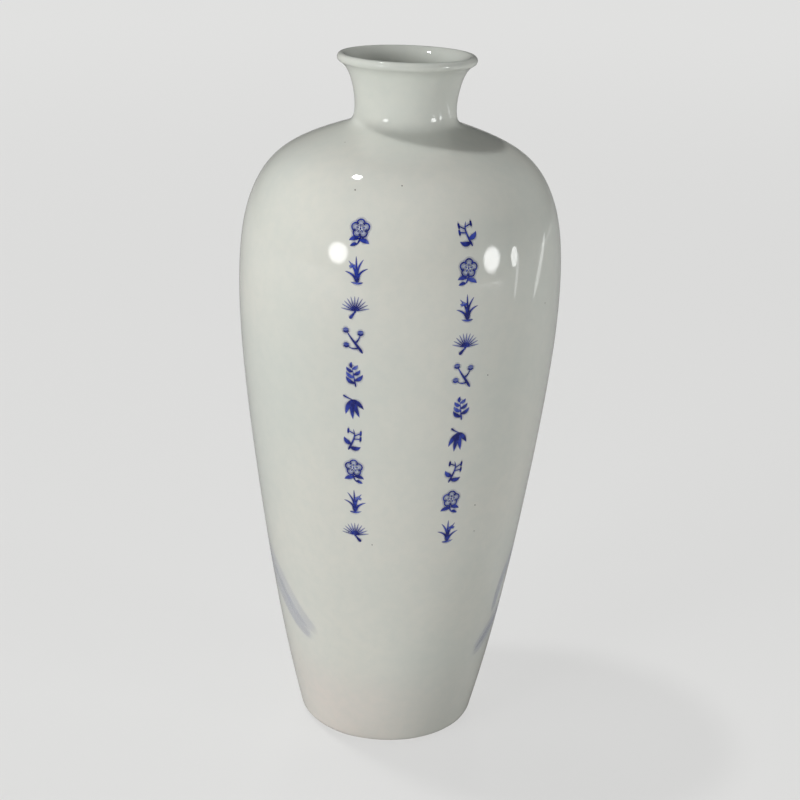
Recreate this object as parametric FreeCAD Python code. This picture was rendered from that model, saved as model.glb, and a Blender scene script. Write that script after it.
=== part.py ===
"""A porcelain meiping vase: three thrown clay sections, the slip that joins them, and three coats of glaze.

The vase stands on Z = 0 with its axis on Z, and its painted front faces -Y. Sizes are in millimetres.
Every piece is turned about Z from a section in the plane of X, the radius, and Z, the height. The lines of
the section run upwards and outwards, so the clay lies left of the outside lines and right of the inside ones.
"""
import FreeCAD
import Part

import math
import os

# Body, measured on the glazed outside
FOOT_RADIUS = 32.4
FOOT_EDGE_RADIUS = 4.0
FOOT_TO_BELLY = 170.5
BELLY_RADIUS = 56.9
BELLY_TO_NECK = 56.6
FOOT_LEAN_DEG = 76.0
SHOULDER_LEAN_DEG = 160.5

# Neck and lip, measured on the glazed outside
NECK_HEIGHT = 22.9
NECK_WAIST_RADIUS = 17.5
NECK_ROOT_SPREAD = 0.5
NECK_ROOT_FILLET = 2.0
NECK_ROOT_LEAN_DEG = 101.0
LIP_SPREAD = 6.4
LIP_ROLL_RADIUS = 1.55
LIP_ROLL_START_DEG = -60.0
LIP_CREST_DEG = 90.0
LIP_ROLL_END_DEG = LIP_ROLL_START_DEG + 180

# Walls and floor, each with its coats of glaze
FOOT_WALL = 6.0
SHOULDER_WALL = 4.2
FLOOR_THICKNESS = 6.0
FLOOR_CORNER_RADIUS = 12.0

# Foot ring and the turned recess inside it
FOOT_RING_WIDTH = 3.4
RECESS_DEPTH = 3.6
RECESS_CORNER_RADIUS = 1.4
RECESS_EDGE_RADIUS = 0.7
RECESS_BARE_RISE = 1.4
RECESS_WALL_DEG = -82.0

# Glaze, and the slip in the two luted joints
GLAZE = 0.4
GLAZE_STOP_DEG = -44.0
SLIP = 0.6
BODY_JOINT_HEIGHT = 106.0
BODY_JOINT_BEVEL_DEG = 24.0
NECK_JOINT_RISE = 2.6
OVERRUN = 5.0

# Points of the outside, as shares of a stretch's height and of the way from one end's radius to the other's
TAPER_SHARES = [(0.3, 0.435), (0.6, 0.753), (0.83, 0.94)]
SHOULDER_SHARES = [(0.22, 0.012), (0.42, 0.052), (0.61, 0.145), (0.77, 0.305), (0.895, 0.588)]
NECK_SHARES = [(0.5, 0.185), (0.78, 0.46)]
NECK_WAIST_SHARE = 0.19
SHIFT_STEPS = 28
HALVINGS = 40


def at(radius, height):
    """A point of the section."""
    return FreeCAD.Vector(radius, 0.0, height)


def heading(degrees):
    """The unit direction at this angle above outwards."""
    return at(math.cos(math.radians(degrees)), math.sin(math.radians(degrees)))


def line(start, end):
    """A straight edge."""
    return Part.LineSegment(start, end).toShape()


class Bend:
    """A round stretch of a line, from one angle about its centre to another."""

    def __init__(self, centre, radius, start_deg, end_deg):
        self.centre = centre
        self.radius = radius
        self.start_deg = start_deg
        self.end_deg = end_deg

    def place(self, share):
        """The point this share of the way along."""
        angle = self.start_deg + (self.end_deg - self.start_deg) * share
        return self.centre + heading(angle) * self.radius

    def edge(self):
        return Part.Arc(self.place(0), self.place(1 / 2), self.place(1)).toShape()

    def shifted(self, gap):
        """The same stretch, moved to its left."""
        leftwards = -gap if self.end_deg > self.start_deg else gap
        return Bend(self.centre, self.radius + leftwards, self.start_deg, self.end_deg)

    def between(self, start_deg, end_deg):
        """Another stretch of the same circle."""
        return Bend(self.centre, self.radius, start_deg, end_deg)


class Sweep:
    """A smooth stretch of a line through a few points, with its headings at both ends."""

    def __init__(self, points, start_deg, end_deg):
        self.start_deg = start_deg
        self.end_deg = end_deg
        self.curve = Part.BSplineCurve()
        self.curve.interpolate(
            Points=points, InitialTangent=heading(start_deg), FinalTangent=heading(end_deg)
        )

    def parameter(self, share):
        first, last = self.curve.FirstParameter, self.curve.LastParameter
        return first + (last - first) * share

    def place(self, share):
        """The point this share of the way along."""
        return self.curve.value(self.parameter(share))

    def heading_deg(self, share):
        """The heading this share of the way along, in degrees."""
        tangent = self.curve.tangent(self.parameter(share))[0]
        return math.degrees(math.atan2(tangent.z, tangent.x))

    def beside(self, share, gap):
        """The point at this distance to the left of the line."""
        return self.place(share) + heading(self.heading_deg(share) + 90) * gap

    def edge(self):
        return self.curve.toShape()

    def tapered(self, gap, end_gap, first_share=0.0):
        """The same stretch from a share on, moved to its left by a gap that changes evenly."""
        moved = []
        for step in range(SHIFT_STEPS + 1):
            share = first_share + (1 - first_share) * step / SHIFT_STEPS
            moved.append(self.beside(share, gap + (end_gap - gap) * share))
        return Sweep(moved, self.heading_deg(first_share), self.end_deg)

    def shifted(self, gap):
        """The same stretch, moved to its left."""
        return self.tapered(gap, gap)

    def share_at(self, height, gap=0.0, end_gap=0.0):
        """How far along the line the point beside it, at a gap that changes evenly, reaches this height."""
        low, high = 0.0, 1.0
        for _ in range(HALVINGS):
            middle = (low + high) / 2
            if self.beside(middle, gap + (end_gap - gap) * middle).z < height:
                low = middle
            else:
                high = middle
        return (low + high) / 2


class Run:
    """A straight stretch of a line."""

    def __init__(self, start, end):
        self.start = start
        self.end = end

    def place(self, share):
        """The point this share of the way along."""
        return self.start + (self.end - self.start) * share

    def edge(self):
        return line(self.start, self.end)

    def shifted(self, gap):
        """The same stretch, moved to its left."""
        along = self.end - self.start
        step = at(-along.z, along.x).normalize() * gap
        return Run(self.start + step, self.end + step)


def rounded(corner, start_deg, end_deg, radius):
    """The bend that rounds a corner between two headings."""
    side = 1 if end_deg > start_deg else -1
    before_corner = radius * math.tan(math.radians(abs(end_deg - start_deg) / 2))
    start = corner - heading(start_deg) * before_corner
    centre = start + heading(start_deg + side * 90) * radius
    return Bend(centre, radius, start_deg - side * 90, end_deg - side * 90)


def shift_all(stretches, gap):
    """Each stretch, moved to its left."""
    return [stretch.shifted(gap) for stretch in stretches]


def face_of(edges):
    """The flat face that these edges bound."""
    return Part.Face(Part.Wire(Part.__sortEdges__(edges)))


def between_lines(stretches, backing):
    """The face between a line and another beside it, such as a coat and the clay that it covers."""
    edges = [stretch.edge() for stretch in stretches + backing]
    edges.append(line(stretches[0].place(0), backing[0].place(0)))
    edges.append(line(stretches[-1].place(1), backing[-1].place(1)))
    return face_of(edges)


def points_between(start, end, shares):
    """Points at shares of the height and of the radius between two others."""
    along = end - start
    return [start + at(along.x * radial, along.z * upward) for upward, radial in shares]


class Outside:
    """The glazed outside, from the foot's edge to the lip's crest."""

    def __init__(self):
        root_height = FOOT_TO_BELLY + BELLY_TO_NECK
        root = at(NECK_WAIST_RADIUS + NECK_ROOT_SPREAD, root_height)
        foot_corner = at(FOOT_RADIUS - GLAZE, 0)
        self.clay_foot = rounded(foot_corner, 0, FOOT_LEAN_DEG, FOOT_EDGE_RADIUS)
        self.foot = self.clay_foot.between(GLAZE_STOP_DEG, FOOT_LEAN_DEG - 90).shifted(-GLAZE)
        self.root = rounded(root, SHOULDER_LEAN_DEG, NECK_ROOT_LEAN_DEG, NECK_ROOT_FILLET)

        start = self.foot.place(1)
        belly = at(BELLY_RADIUS, FOOT_TO_BELLY)
        taper = points_between(start, belly, TAPER_SHARES)
        shoulder = points_between(belly, self.root.place(0), SHOULDER_SHARES)
        body_points = [start] + taper + [belly] + shoulder + [self.root.place(0)]
        self.body = Sweep(body_points, FOOT_LEAN_DEG, SHOULDER_LEAN_DEG)

        lip = at(NECK_WAIST_RADIUS + LIP_SPREAD, root_height + NECK_HEIGHT)
        roll_centre = lip - at(LIP_ROLL_RADIUS, LIP_ROLL_RADIUS)
        self.roll = Bend(roll_centre, LIP_ROLL_RADIUS, LIP_ROLL_START_DEG, LIP_CREST_DEG)
        neck_start, neck_end = self.root.place(1), self.roll.place(0)
        waist_rise = (neck_end.z - neck_start.z) * NECK_WAIST_SHARE
        waist = at(NECK_WAIST_RADIUS, neck_start.z + waist_rise)
        neck_points = [neck_start, waist] + points_between(waist, neck_end, NECK_SHARES) + [neck_end]
        self.neck = Sweep(neck_points, NECK_ROOT_LEAN_DEG, LIP_ROLL_START_DEG + 90)

    def stretches(self):
        return [self.foot, self.body, self.root, self.neck, self.roll]


class Inside:
    """The glazed inside, from the middle of the floor to the lip's crest."""

    def __init__(self, outside):
        centre_height = RECESS_DEPTH + FLOOR_THICKNESS + FLOOR_CORNER_RADIUS
        centre_gaps = [wall + FLOOR_CORNER_RADIUS for wall in (FOOT_WALL, SHOULDER_WALL)]
        floor_share = outside.body.share_at(centre_height, *centre_gaps)
        centre_gap = centre_gaps[0] + (centre_gaps[1] - centre_gaps[0]) * floor_share
        centre = outside.body.beside(floor_share, centre_gap)
        self.corner = Bend(centre, FLOOR_CORNER_RADIUS, -90, outside.body.heading_deg(floor_share) - 90)
        self.floor = Run(at(0, self.corner.place(0).z), self.corner.place(0))
        self.body = outside.body.tapered(FOOT_WALL, SHOULDER_WALL, floor_share)
        self.root = outside.root.shifted(SHOULDER_WALL)
        self.neck = outside.neck.tapered(SHOULDER_WALL, LIP_ROLL_RADIUS * 2)
        self.roll = outside.roll.between(LIP_ROLL_END_DEG, LIP_CREST_DEG)

    def stretches(self):
        return [self.floor, self.corner, self.body, self.root, self.neck, self.roll]


class Underside:
    """The bare clay under the vase, from the middle of the recess to the foot's edge."""

    def __init__(self, outside):
        ring_outer = outside.clay_foot.place(0)
        ring_inner = ring_outer - at(FOOT_RING_WIDTH, 0)
        rim_drop = RECESS_EDGE_RADIUS * math.tan(math.radians(-RECESS_WALL_DEG / 2))
        rim_corner = ring_inner - at(rim_drop, 0)
        self.rim = rounded(rim_corner, RECESS_WALL_DEG, 0, RECESS_EDGE_RADIUS)
        slant = (RECESS_DEPTH - rim_corner.z) / math.tan(math.radians(RECESS_WALL_DEG))
        self.corner = rounded(rim_corner + at(slant, RECESS_DEPTH), 0, RECESS_WALL_DEG, RECESS_CORNER_RADIUS)
        self.ceiling = Run(at(0, RECESS_DEPTH), self.corner.place(0))
        self.wall = Run(self.corner.place(1), self.rim.place(0))
        bare_share = (self.wall.start.z - RECESS_BARE_RISE) / (self.wall.start.z - self.wall.end.z)
        self.glazed_wall = Run(self.wall.start, self.wall.place(bare_share))
        self.ring = Run(self.rim.place(1), ring_outer)

    def stretches(self):
        return [self.ceiling, self.corner, self.wall, self.rim, self.ring]

    def glazed_stretches(self):
        return [self.ceiling, self.corner, self.glazed_wall]


def joint_line(pivot, bevel_deg, rise):
    """The ends of a line across the section, through a point above the pivot."""
    slope = math.tan(math.radians(bevel_deg))
    reach = BELLY_RADIUS + OVERRUN
    return [at(0, pivot.z + rise - pivot.x * slope), at(reach, pivot.z + rise + (reach - pivot.x) * slope)]


def clay_between(clay, low, high):
    """The part of the clay's section between two lines across it."""
    corners = [low[0], low[1], high[1], high[0], low[0]]
    return clay.common(Part.Face(Part.makePolygon(corners))).Faces[0]


def clay_sections(outside, inside, underside):
    """The three thrown sections of clay and the two rings of slip between them."""
    stretches = underside.stretches() + [outside.clay_foot]
    stretches += shift_all(outside.stretches()[1:], GLAZE) + shift_all(inside.stretches(), -GLAZE)
    edges = [stretch.edge() for stretch in stretches]
    edges.append(line(underside.ceiling.start, inside.floor.shifted(-GLAZE).start))
    clay = face_of(edges)

    body_pivot = outside.body.place(outside.body.share_at(BODY_JOINT_HEIGHT))
    neck_pivot = outside.root.place(1)
    foot_line = joint_line(at(0, 0), 0, -OVERRUN)
    body_line = joint_line(body_pivot, BODY_JOINT_BEVEL_DEG, 0)
    above_body_line = joint_line(body_pivot, BODY_JOINT_BEVEL_DEG, SLIP)
    neck_line = joint_line(neck_pivot, 0, NECK_JOINT_RISE)
    above_neck_line = joint_line(neck_pivot, 0, NECK_JOINT_RISE + SLIP)
    lip_line = joint_line(outside.roll.place(1), 0, OVERRUN)
    return {
        "lower_body": clay_between(clay, foot_line, body_line),
        "body_joint_slip": clay_between(clay, body_line, above_body_line),
        "upper_body": clay_between(clay, above_body_line, neck_line),
        "neck_joint_slip": clay_between(clay, neck_line, above_neck_line),
        "neck": clay_between(clay, above_neck_line, lip_line),
    }


def glaze_sections(outside, inside, underside):
    """The three coats of glaze. The first two meet on the lip's crest."""
    outer, inner, base = outside.stretches(), inside.stretches(), underside.glazed_stretches()
    return {
        "outer_glaze": between_lines(outer, shift_all(outer, GLAZE)),
        "inner_glaze": between_lines(inner, shift_all(inner, -GLAZE)),
        "base_glaze": between_lines(base, shift_all(base, -GLAZE)),
    }


def turned(section):
    """The solid that a section makes about the vase's axis."""
    solid = section.revolve(at(0, 0), at(0, 1), 360)
    return solid if solid.Volume > 0 else solid.reversed()


def main():
    os.makedirs("parts", exist_ok=True)
    outside = Outside()
    inside = Inside(outside)
    underside = Underside(outside)
    sections = clay_sections(outside, inside, underside)
    sections.update(glaze_sections(outside, inside, underside))
    for name, section in sections.items():
        solid = turned(section)
        print(name, "valid" if solid.isValid() else "NOT VALID", "volume", round(solid.Volume), "mm3")
        solid.exportStep(f"parts/{name}.step")


if __name__ == "__main__":
    main()
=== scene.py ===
"""Dresses a porcelain meiping vase round its construction model.

The vase stands on Z = 0 with its axis on Z, and its front faces -Y. Lengths are in metres, apart from those
of the brush strokes, which are drawn flat in millimetres and then laid on the glaze.
The three coats of glaze are turned again from the model's own coats, with the slight unevenness of a fired
surface. Clay and slip keep the model's meshes, each under a finish of its own.
"""

import logging
import math
import random
from dataclasses import dataclass, replace
from enum import Enum

import bpy
import numpy as np
from mathutils import Matrix, Quaternion, Vector

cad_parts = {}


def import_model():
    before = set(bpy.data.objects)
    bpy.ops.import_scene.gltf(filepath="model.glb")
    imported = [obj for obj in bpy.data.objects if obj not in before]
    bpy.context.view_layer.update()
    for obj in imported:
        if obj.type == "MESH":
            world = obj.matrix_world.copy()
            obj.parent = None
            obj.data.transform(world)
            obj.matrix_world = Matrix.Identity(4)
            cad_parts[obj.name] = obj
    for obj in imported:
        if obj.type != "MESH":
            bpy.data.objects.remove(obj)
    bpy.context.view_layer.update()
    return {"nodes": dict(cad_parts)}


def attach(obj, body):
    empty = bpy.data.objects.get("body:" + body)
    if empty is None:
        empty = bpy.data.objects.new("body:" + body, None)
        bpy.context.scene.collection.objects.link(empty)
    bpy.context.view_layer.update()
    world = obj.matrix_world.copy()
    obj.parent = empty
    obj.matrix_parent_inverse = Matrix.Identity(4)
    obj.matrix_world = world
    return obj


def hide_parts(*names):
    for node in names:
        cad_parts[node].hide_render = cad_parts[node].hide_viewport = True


MM = 0.001
BODY = "root"
PHOTO_SIDE_PX = 800
WHITE = 255
# Where a noise texture mostly keeps within its range of 0 to 1.
NOISE_REACH = (0.3, 0.7)

Array = np.ndarray
Colour = tuple[int, int, int]
Point = tuple[float, float]
Line = tuple[Point, ...]
Group = bpy.types.NodeTree
Material = bpy.types.Material
Node = bpy.types.Node
Piece = bpy.types.Object
Socket = bpy.types.NodeSocket

log = logging.getLogger("meiping")


def paint(colour: Colour) -> tuple[float, float, float, float]:
    """Turns a colour as a screen shows it into linear light, with a full alpha.

    Args:
        colour: Its red, green and blue, each from 0 to 255.

    Returns:
        The same colour in linear light.
    """
    toe = 0.055
    power = 2.4
    linear = [((part / WHITE + toe) / (1 + toe)) ** power for part in colour]
    return (*linear, 1.0)


def eased(shares: Array) -> Array:
    """Runs smoothly from 0 to 1 as shares do, and stays there outside them."""
    held = np.clip(shares, 0, 1)
    return held * held * (3 - 2 * held)


def take_up(piece: Piece) -> None:
    """Leaves a piece as the only one selected, and active.

    Args:
        piece: The piece.
    """
    bpy.ops.object.select_all(action="DESELECT")
    piece.select_set(True)
    bpy.context.view_layer.objects.active = piece


def dress(piece: Piece, material: Material) -> None:
    """Gives a piece one finish, in place of any other."""
    piece.data.materials.clear()
    piece.data.materials.append(material)


def finish_piece(piece: Piece, material: Material, crease_deg: float) -> None:
    """Shades a piece smoothly, gives it its finish and lets it ride on the vase.

    Args:
        piece: The piece, with its place in its mesh.
        material: Its finish.
        crease_deg: Edges that turn by more than this stay sharp.
    """
    take_up(piece)
    bpy.ops.object.shade_smooth_by_angle(angle=math.radians(crease_deg))
    dress(piece, material)
    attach(piece, BODY)
    log.info("%s: %d faces", piece.name, len(piece.data.polygons))


class SmoothLine:
    """A smooth line through points, measured along its chords."""

    heading_step_share = 1e-5

    def __init__(self, points: Array) -> None:
        """Fits the line to two or more points, one a row.

        Args:
            points: The points.
        """
        self.points = np.asarray(points, float)
        chords = np.linalg.norm(np.diff(self.points, axis=0), axis=1)
        self.marks = np.concatenate([[0.0], np.cumsum(chords)])
        self.length = float(self.marks[-1])
        self.bends = self._bends()

    def _bends(self) -> Array:
        """Second derivatives at the points of a cubic spline whose end spans bend evenly.

        Returns:
            The derivatives, one a row.
        """
        count = len(self.marks)
        known = np.zeros_like(self.points)
        if count == 2:
            return known
        spans = np.diff(self.marks)
        slopes = np.diff(self.points, axis=0) / spans[:, None]
        system = np.zeros((count, count))
        for i in range(1, count - 1):
            system[i, i - 1 : i + 2] = spans[i - 1], 2 * (spans[i - 1] + spans[i]), spans[i]
            known[i] = 6 * (slopes[i] - slopes[i - 1])
        system[0, :2] = 1, -1
        system[-1, -2:] = 1, -1
        return np.linalg.solve(system, known)

    def place(self, along: Array) -> Array:
        """The points this far along the line, one a row.

        Args:
            along: How far along the line each point lies.

        Returns:
            The points.
        """
        i = np.clip(np.searchsorted(self.marks, along, side="right") - 1, 0, len(self.marks) - 2)
        span = (self.marks[i + 1] - self.marks[i])[:, None]
        after = (np.asarray(along) - self.marks[i])[:, None] / span
        before = 1 - after
        straight = before * self.points[i] + after * self.points[i + 1]
        bent = (before**3 - before) * self.bends[i] + (after**3 - after) * self.bends[i + 1]
        return straight + bent * span**2 / 6

    def heading(self, along: Array) -> Array:
        """The unit directions of the line this far along it, one a row.

        Args:
            along: How far along the line each point lies.

        Returns:
            The directions.
        """
        step = self.length * self.heading_step_share
        way = self.place(np.minimum(along + step, self.length)) - self.place(np.maximum(along - step, 0))
        return way / np.linalg.norm(way, axis=1)[:, None]


class Side(Enum):
    """Which way the open side of a coat faces."""

    OUT = "out"
    IN = "in"
    UNDER = "under"

    def shows(self, outward: Array, upward: Array) -> Array:
        """Tells the faces of the open side from those of the backing and the ends.

        Args:
            outward: Each face normal's part away from the axis.
            upward: Each face normal's part upwards.

        Returns:
            True for each face of the open side.
        """
        level = 0.02
        if self is Side.OUT:
            return outward > level
        turned = upward > 0 if self is Side.IN else upward < 0
        return (outward < -level) | ((np.abs(outward) <= level) & turned)


def coat_line(node: Piece, side: Side, least_gap: float) -> SmoothLine:
    """Reads the section line of a coat's open side from the model.

    Args:
        node: The coat's node.
        side: Which way its open side faces.
        least_gap: Points of the model closer than this are passed over.

    Returns:
        The line, in radius and height, from its lower or middle end.
    """
    least_radius = 1e-9
    height_digits = 6
    places = np.array([vertex.co for vertex in node.data.vertices])
    normals = np.array([face.normal for face in node.data.polygons])
    corners = np.array([tuple(face.vertices) for face in node.data.polygons])
    middles = places[corners].mean(axis=1)[:, :2]
    reach = np.maximum(np.linalg.norm(middles, axis=1), least_radius)
    outward = (normals[:, :2] * middles).sum(axis=1) / reach
    shown = places[np.unique(corners[side.shows(outward, normals[:, 2])])]
    points = np.column_stack([np.linalg.norm(shown[:, :2], axis=1), shown[:, 2]])
    rising = -1 if side is Side.UNDER else 1
    points = points[np.lexsort((points[:, 0], rising * np.round(points[:, 1], height_digits)))]
    kept = [points[0]]
    for point in points[1:]:
        if np.linalg.norm(point - kept[-1]) >= least_gap:
            kept.append(point)
    kept[-1] = points[-1]
    return SmoothLine(np.array(kept))


@dataclass(frozen=True)
class Ripple:
    """A slow wave in a fired surface, so long and repeated so many times round the axis."""

    depth: float
    length: float
    turns: int
    phase: float

    def sink(self, along: Array, angle: Array) -> Array:
        """How far the surface lies below its true form, never above it."""
        wave = math.tau * along / self.length + self.turns * angle + self.phase
        return self.depth * (1 - np.sin(wave))


def ripples(seed: int, depth: float, lengths: Point, turns: tuple[int, ...]) -> tuple[Ripple, ...]:
    """Draws the waves of an uneven surface.

    Args:
        seed: Fixes the draw.
        depth: The depth of all the waves together, to either side of their middle.
        lengths: The shortest and the longest wave.
        turns: How many times each wave repeats round the axis.

    Returns:
        The waves.
    """
    chance = random.Random(seed)
    each = depth / len(turns)
    return tuple(
        Ripple(each, chance.uniform(*lengths), count, chance.uniform(0, math.tau)) for count in turns
    )


@dataclass
class Coat:
    """A coat of glaze turned round the vase's axis, with an open side, a backing and a rounded free edge."""

    node: str
    side: Side
    waves: tuple[Ripple, ...]
    thickness: float = 0.4 * MM
    least_gap: float = 0.2 * MM
    longest_row: float = 1.5 * MM
    row_turn_deg: float = 4.0
    backing_row: float = 6 * MM
    backing_turn_deg: float = 7.0
    segments: int = 200
    crease_deg: float = 30.0
    fade: float = 6 * MM
    free_edge: float = 0.5 * MM
    free_edge_share: float = 0.002
    free_start: bool = False
    free_end: bool = False
    soft_from: float = 0.0
    soft_to: float = 0.0
    softness: float = 1.7 * MM
    edge_drift: float = 0.35 * MM
    edge_waves: tuple[tuple[float, int, float], ...] = ((1.0, 3, 0.8), (0.7, 7, 2.1), (0.3, 17, 0.0))
    seam_step: float = 0.02 * MM
    weld: float = 0.001 * MM
    on_axis: float = 0.0001 * MM

    def read(self, nodes: dict[str, Piece]) -> None:
        """Reads the coat's line from the model.

        Args:
            nodes: The model's nodes by name.
        """
        self.line = coat_line(nodes[self.node], self.side, self.least_gap)
        if self.soft_to > self.soft_from:
            self.line = self._softened()
        first, *between, last = self._rows(self.longest_row, self.row_turn_deg)
        self.rows = np.array([first, first + self.seam_step, *between, last - self.seam_step, last])

    def _fine(self) -> Array:
        """Close steps along the line."""
        return np.linspace(0, self.line.length, int(self.line.length / self.least_gap))

    def _softened(self) -> SmoothLine:
        """The coat's line with its turns eased between two heights, where glaze pooled in the corner.

        Returns:
            The eased line.
        """
        fade = 3 * self.softness
        points = self.line.place(self._fine())
        reach = int(fade / self.least_gap)
        weights = np.exp(-0.5 * (np.arange(-reach, reach + 1) * self.least_gap / self.softness) ** 2)
        weights /= weights.sum()
        padded = np.pad(points, ((reach, reach), (0, 0)), mode="edge")
        soft = np.column_stack([np.convolve(padded[:, i], weights, mode="valid") for i in range(2)])
        heights = points[:, 1]
        share = eased((heights - self.soft_from) / fade) * eased((self.soft_to - heights) / fade)
        return SmoothLine(points + (soft - points) * share[:, None])

    def _rows(self, longest: float, turn_deg: float) -> Array:
        """How far along the line each row lies, close together where it turns.

        Args:
            longest: The longest step between two rows.
            turn_deg: The most that the line turns from one row to the next.

        Returns:
            The rows, from the line's start to its end.
        """
        fine = self._fine()
        headings = self.line.heading(fine)
        turned = np.abs(np.diff(np.unwrap(np.arctan2(headings[:, 1], headings[:, 0]))))
        wanted = np.maximum(np.diff(fine) / longest, turned / math.radians(turn_deg))
        counted = np.concatenate([[0.0], np.cumsum(wanted)])
        return np.interp(np.linspace(0, counted[-1], round(counted[-1]) + 1), counted, fine)

    def _lift(self, along: Array, is_open: Array) -> Array:
        """How high each point lies before the glaze settles, with 0 as its face, rounded at a free edge.

        Args:
            along: How far along the line each point lies.
            is_open: Whether it lies on the open side.

        Returns:
            The heights, in metres.
        """
        share = np.ones_like(along)
        for free, reach in ((self.free_start, along), (self.free_end, self.line.length - along)):
            if free:
                inward = np.clip(reach / self.free_edge, self.free_edge_share, 1)
                share *= np.sqrt(1 - (1 - inward) ** 2)
        return np.where(is_open, self.thickness * share, 0) - self.thickness

    def _drift(self, along: Array, angle: Array) -> Array:
        """How far a free edge strays from its line, where the glaze ran or was wiped.

        Args:
            along: How far along the line each point lies.
            angle: Its angle round the axis.

        Returns:
            How far each point moves along the line.
        """
        stray = np.full_like(angle, sum(depth for depth, _, _ in self.edge_waves))
        for depth, count, phase in self.edge_waves:
            stray += depth * np.sin(count * angle + phase)
        stray *= self.edge_drift / 2
        drift = np.zeros_like(along)
        if self.free_start:
            drift += stray * (1 - eased(along / self.fade))
        if self.free_end:
            drift -= stray * (1 - eased((self.line.length - along) / self.fade))
        return drift

    def _offset(self, along: Array, height: Array) -> Array:
        """Points so far along the line and so high above it, in radius and height.

        Args:
            along: How far along the line each point lies.
            height: How high above it the point lies.

        Returns:
            The points, one a row.
        """
        headings = self.line.heading(along)
        turn = -1 if self.side is Side.IN else 1
        normals = turn * np.column_stack([headings[:, 1], -headings[:, 0]])
        return self.line.place(along) + normals * height[:, None]

    def surface(self, along: Array, angle: Array, lift: Array) -> Array:
        """Points on or above the open side.

        Args:
            along: How far along the coat's line each point lies.
            angle: Its angle round the axis, from the front towards +X.
            lift: Its height above the glaze.

        Returns:
            The points, one a row.
        """
        sunk = sum(wave.sink(along, angle) for wave in self.waves)
        ends = np.minimum(along, self.line.length - along) / self.fade
        placed = self._offset(along + self._drift(along, angle), lift - sunk * eased(ends))
        return np.column_stack([placed[:, 0] * np.sin(angle), -placed[:, 0] * np.cos(angle), placed[:, 1]])

    def along_at(self, height: float) -> float:
        """How far along the line it reaches a height."""
        return float(np.interp(height, self.line.place(self.rows)[:, 1], self.rows))

    def radius_at(self, along: Array) -> Array:
        """The radius of the open side this far along its line."""
        return self.line.place(along)[:, 0]

    def build(self, glaze: Material) -> None:
        """Spins the coat from its section, gives it its finish and hides the node that it takes the place
        of.

        Args:
            glaze: Its finish.
        """
        backing = self._rows(self.backing_row, self.backing_turn_deg)[::-1]
        along = np.concatenate([self.rows, backing])
        is_open = np.arange(len(along)) < len(self.rows)
        section = self._offset(along, self._lift(along, is_open))
        edges = [(i, i + 1) for i in range(len(along) - 1)]
        if self.side is Side.OUT:
            edges.append((len(along) - 1, 0))
        else:
            section[[0, -1], 0] = 0
        corners = np.column_stack([section[:, 0], np.zeros(len(section)), section[:, 1]])
        mesh = bpy.data.meshes.new(f"{self.node}_skin")
        mesh.from_pydata(corners.tolist(), edges, [])
        for mark, values in (("along", along), ("open", is_open)):
            mesh.attributes.new(mark, "FLOAT", "POINT").data.foreach_set("value", values.astype(np.float32))
        coat = bpy.data.objects.new(mesh.name, mesh)
        bpy.context.scene.collection.objects.link(coat)
        take_up(coat)
        bpy.ops.object.mode_set(mode="EDIT")
        bpy.ops.mesh.select_all(action="SELECT")
        bpy.ops.mesh.spin(steps=self.segments, angle=math.tau, center=(0, 0, 0), axis=(0, 0, 1))
        bpy.ops.mesh.select_all(action="SELECT")
        bpy.ops.mesh.remove_doubles(threshold=self.weld)
        bpy.ops.mesh.normals_make_consistent(inside=False)
        bpy.ops.object.mode_set(mode="OBJECT")
        self._settle(mesh)
        finish_piece(coat, glaze, self.crease_deg)
        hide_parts(self.node)

    def _settle(self, mesh: bpy.types.Mesh) -> None:
        """Sinks the open side to its fired surface, and unrolls the coat onto a picture of its own.

        Args:
            mesh: The coat's mesh, as it was spun.
        """
        places = np.array([vertex.co for vertex in mesh.vertices])
        along = np.array([item.value for item in mesh.attributes["along"].data])
        is_open = np.array([item.value > 0.5 for item in mesh.attributes["open"].data])
        angle = np.arctan2(places[:, 0], -places[:, 1])
        on_axis = np.linalg.norm(places[:, :2], axis=1) < self.on_axis
        settled = self.surface(along, angle, self._lift(along, is_open))
        settled[on_axis, :2] = 0
        settled[~is_open] = places[~is_open]
        mesh.vertices.foreach_set("co", settled.astype(np.float32).ravel())
        turn_share = np.where(on_axis, np.nan, angle / math.tau + 0.5)
        self._unroll(mesh, along / self.line.length, turn_share, is_open)
        mesh.update()

    @staticmethod
    def _unroll(mesh: bpy.types.Mesh, along_share: Array, turn_share: Array, is_open: Array) -> None:
        """Maps the coat onto its picture, with the open side on most of it.

        Args:
            mesh: The coat's mesh.
            along_share: Each point's share of the way along the line.
            turn_share: Its share of the way round the axis, which a point on the axis has none of.
            is_open: Whether it lies on the open side.
        """
        open_band, ends_at, backing_from = 0.93, 0.94, 0.95
        flat = np.zeros((len(mesh.loops), 2), np.float32)
        for face in mesh.polygons:
            corners = np.array(face.vertices)
            around = turn_share[corners]
            if np.nanmax(around) - np.nanmin(around) > 0.5:
                around[around < 0.5] += 1
            around[np.isnan(around)] = np.nanmean(around)
            share = along_share[corners]
            opened = is_open[corners]
            up = np.where(opened, share * open_band, backing_from + share * (1 - backing_from))
            if opened.any() and not opened.all():
                up[:] = ends_at
            flat[face.loop_start : face.loop_start + len(corners)] = np.column_stack([around, up])
        mesh.uv_layers.new(name="OFBake").data.foreach_set("uv", flat.ravel())


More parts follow.
